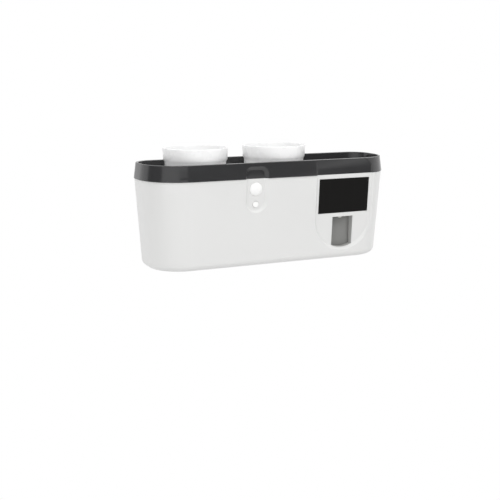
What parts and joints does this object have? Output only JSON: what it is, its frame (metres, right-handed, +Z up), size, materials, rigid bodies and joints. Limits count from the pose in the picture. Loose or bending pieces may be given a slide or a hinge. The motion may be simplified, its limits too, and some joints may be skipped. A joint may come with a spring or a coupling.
{
  "type": "toothpaste dispenser",
  "caption": "Wall-hung toothbrush holder with a push-type toothpaste dispenser, a lift-out tray with drinking cups, a brush rack underneath, a solar panel and a motion sensor.",
  "frame": {"origin": "middle of the wall plate's back, on the wall's plane (the adhesive pad's rear face)", "axes": "+X to the right as the user sees it, +Y into the wall, +Z up"},
  "size_m": [0.3096, 0.0888, 0.1365],
  "materials": {
    "housing_white": "satin moulded ABS",
    "tray_grey": "glossy dark grey moulded ABS",
    "cup_white": "glossy moulded PP",
    "cover_white": "fine-textured ABS",
    "adhesive_foam": "foam tape",
    "screw_steel": "plated steel",
    "rack_grey": "moulded ABS",
    "reflector_bright": "bright sheet",
    "board_green": "solder mask",
    "diode_clear": "quartz window",
    "solar_glass": "dark glossy window",
    "solar_cell": "thin-film cell",
    "lens_white": "frosted polyethylene",
    "button_white": "moulded ABS",
    "chip_black": "moulded resin",
    "frame_white": "moulded POM",
    "silicone_clear": "soft silicone",
    "ring_grey": "moulded ABS",
    "paddle_grey": "moulded POM",
    "cell_wrap": "shrink film"
  },
  "bodies": {
    "wall": {"wall_plate": "cover_white", "adhesive_pad": "adhesive_foam"},
    "housing": {"front_housing": "housing_white", "rear_cover": "cover_white", "cover_screws": "screw_steel", "brush_rack": "rack_grey", "chamber_divider": "frame_white", "reflector_panel": "reflector_bright", "light_board": "board_green", "light_diodes": "diode_clear", "light_board_screws": "screw_steel", "solar_window": "solar_glass", "solar_cell": "solar_cell", "sensor_lens": "lens_white", "sensor_can": "screw_steel", "sensor_board": "board_green", "sensor_board_screws": "screw_steel", "button_switch": "chip_black", "dispenser_frame": "frame_white", "frame_screws": "screw_steel", "pump_base": "frame_white", "tube_socket": "silicone_clear", "socket_ring": "ring_grey", "inlet_valve": "silicone_clear", "outlet_nozzle": "silicone_clear", "pump_bellows": "silicone_clear", "guide_rods": "screw_steel", "return_springs": "screw_steel", "battery_cell": "cell_wrap", "battery_cradle": "frame_white", "main_board": "board_green", "board_chips": "chip_black", "charge_socket": "screw_steel"},
    "tray": {"storage_tray": "tray_grey"},
    "left_cup": {"cup_left": "cup_white"},
    "right_cup": {"cup_right": "cup_white"},
    "paddle": {"push_paddle": "paddle_grey"},
    "button": {"mode_button": "button_white"}
  },
  "joints": [
    {"name": "hang_lift", "type": "slide", "parent": "wall", "child": "housing", "axis": [0, 0, 1], "range_m": [0, 0.01]},
    {"name": "tray_lift", "type": "slide", "parent": "housing", "child": "tray", "axis": [0, 0, 1], "range_m": [0, 0.065]},
    {"name": "left_cup_lift", "type": "slide", "parent": "tray", "child": "left_cup", "axis": [0, 0, 1], "range_m": [0, 0.08]},
    {"name": "right_cup_lift", "type": "slide", "parent": "tray", "child": "right_cup", "axis": [0, 0, 1], "range_m": [0, 0.08]},
    {"name": "paddle_push", "type": "slide", "parent": "housing", "child": "paddle", "axis": [0, 1, 0], "range_m": [0, 0.01], "stiffness_N_per_m": 150, "springref_m": -0.01, "deforming": ["return_springs", "pump_bellows"]},
    {"name": "button_press", "type": "slide", "parent": "housing", "child": "button", "axis": [0, 0.9976, 0.0698], "range_m": [0, 0.0007], "stiffness_N_per_m": 800, "springref_m": -0.0005}
  ]
}
